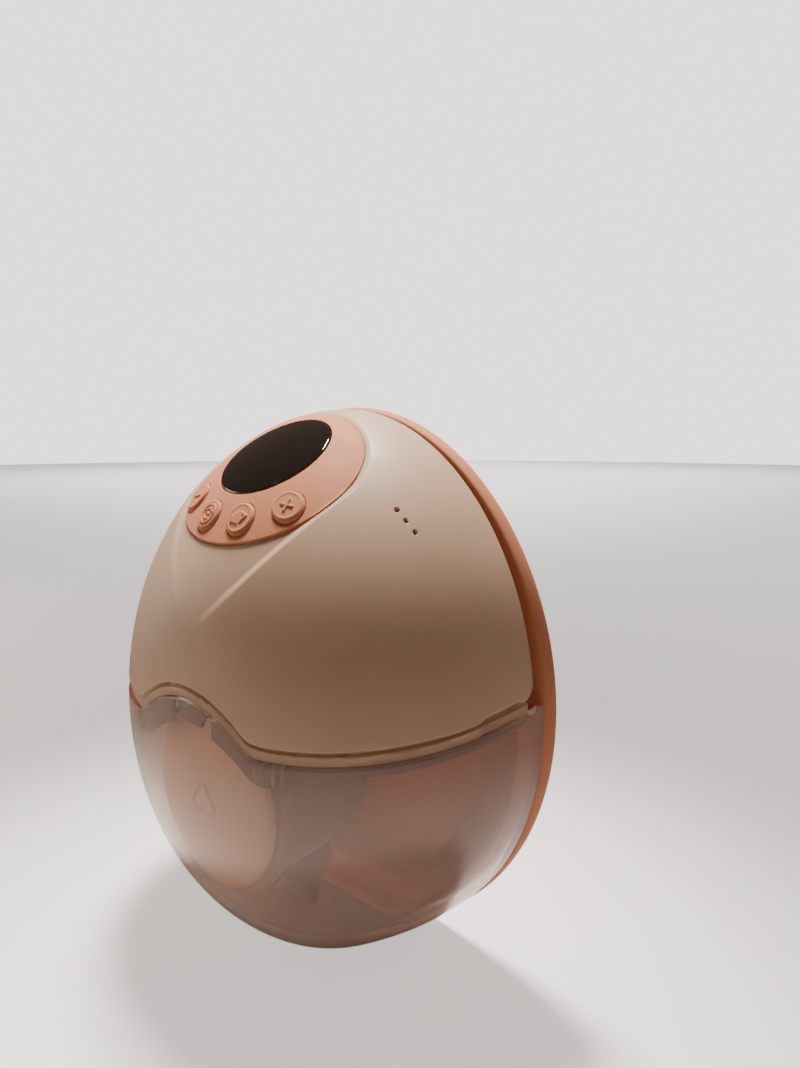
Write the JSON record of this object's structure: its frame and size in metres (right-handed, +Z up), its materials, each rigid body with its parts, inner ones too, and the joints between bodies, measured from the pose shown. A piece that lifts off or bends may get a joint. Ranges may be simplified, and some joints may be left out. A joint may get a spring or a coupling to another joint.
{
  "type": "breast pump",
  "caption": "Wearable hands-free breast pump: egg-shaped housing with display and soft keys over a clear milk cup, with a round linker and a silicone flange at the back.",
  "frame": {"origin": "ground level under the middle of the bounding box, the pump standing on the flat foot of its cup", "axes": "+Z up through the housing, +Y towards the wearer out of the flange's bowl, +X to the side of the plus key"},
  "size_m": [0.1126, 0.0539, 0.1254],
  "materials": {
    "cream_shell": "satin moulded plastic",
    "cream_plastic": "smooth moulded plastic",
    "clear_cup": "polished clear plastic with a faint warm tint",
    "peach_silicone": "soft matte silicone",
    "clear_silicone": "milky clear silicone",
    "black_glass": "glossy tinted window",
    "steel": "plain steel",
    "brass": "turned brass",
    "circuit_board": "coated circuit board",
    "black_plastic": "moulded black plastic",
    "battery_wrap": "shrink wrapped pouch",
    "foam": "closed-cell foam"
  },
  "bodies": {
    "collector": {"collector_cup": "clear_cup"},
    "linker": {"linker_body": "cream_plastic", "linker_front_disc": "cream_plastic", "disc_seal_ring": "clear_silicone", "suction_diaphragm": "clear_silicone", "duckbill_valve": "clear_silicone", "air_port_gasket": "clear_silicone"},
    "flange": {"flange_shield": "peach_silicone"},
    "host": {"host_front_shell": "cream_shell", "host_back_cover": "cream_shell", "host_base_seal": "clear_silicone", "host_screw_1": "steel", "host_screw_2": "steel", "host_screw_3": "steel", "host_screw_4": "steel", "keypad_panel": "peach_silicone", "keypad_carrier": "cream_plastic", "display_lens": "black_glass", "display_module": "black_plastic", "tact_switch_plus": "black_plastic", "tact_switch_level": "black_plastic", "tact_switch_mode": "black_plastic", "tact_switch_minus": "black_plastic", "control_board": "circuit_board", "motor_can": "steel", "motor_end_cap": "black_plastic", "pump_head": "black_plastic", "pump_cradle": "foam", "pressure_valve_coil": "black_plastic", "air_port_elbow": "black_plastic", "air_tee": "cream_plastic", "pump_hose": "clear_silicone", "valve_hose": "clear_silicone", "battery_cell": "battery_wrap", "charge_socket_shell": "steel", "charge_socket_tongue": "black_plastic", "charge_board": "circuit_board", "motor_lead": "black_plastic", "battery_lead": "black_plastic"},
    "rotor": {"motor_shaft": "steel", "eccentric_cam": "brass"},
    "relief_plunger": {"pressure_valve_plunger": "steel"},
    "key_plus": {"button_plus": "peach_silicone"},
    "key_level": {"button_level": "peach_silicone"},
    "key_mode": {"button_mode": "peach_silicone"},
    "key_minus": {"button_minus": "peach_silicone"}
  },
  "joints": [
    {"name": "host_lift", "type": "slide", "parent": "collector", "child": "host", "axis": [0, 0, 1], "range_m": [0, 0.09]},
    {"name": "linker_pull", "type": "slide", "parent": "collector", "child": "linker", "axis": [0, 1, 0], "range_m": [0, 0.08]},
    {"name": "flange_pull", "type": "slide", "parent": "linker", "child": "flange", "axis": [0, 1, 0], "range_m": [0, 0.05]},
    {"name": "key_plus_press", "type": "slide", "parent": "host", "child": "key_plus", "axis": [0, 0.65, -0.76], "range_m": [0, 0.0008], "stiffness_N_per_m": 400},
    {"name": "key_level_press", "type": "slide", "parent": "host", "child": "key_level", "axis": [0, 0.65, -0.76], "range_m": [0, 0.0008], "stiffness_N_per_m": 400},
    {"name": "key_mode_press", "type": "slide", "parent": "host", "child": "key_mode", "axis": [0, 0.65, -0.76], "range_m": [0, 0.0008], "stiffness_N_per_m": 400},
    {"name": "key_minus_press", "type": "slide", "parent": "host", "child": "key_minus", "axis": [0, 0.65, -0.76], "range_m": [0, 0.0008], "stiffness_N_per_m": 400},
    {"name": "motor_spin", "type": "hinge", "parent": "host", "child": "rotor", "pos_m": [0, -0.0073, 0.083], "axis": [1, 0, 0], "continuous": true},
    {"name": "relief_valve_stroke", "type": "slide", "parent": "host", "child": "relief_plunger", "axis": [0, 0, -1], "range_m": [0, 0.0012], "stiffness_N_per_m": 200}
  ]
}
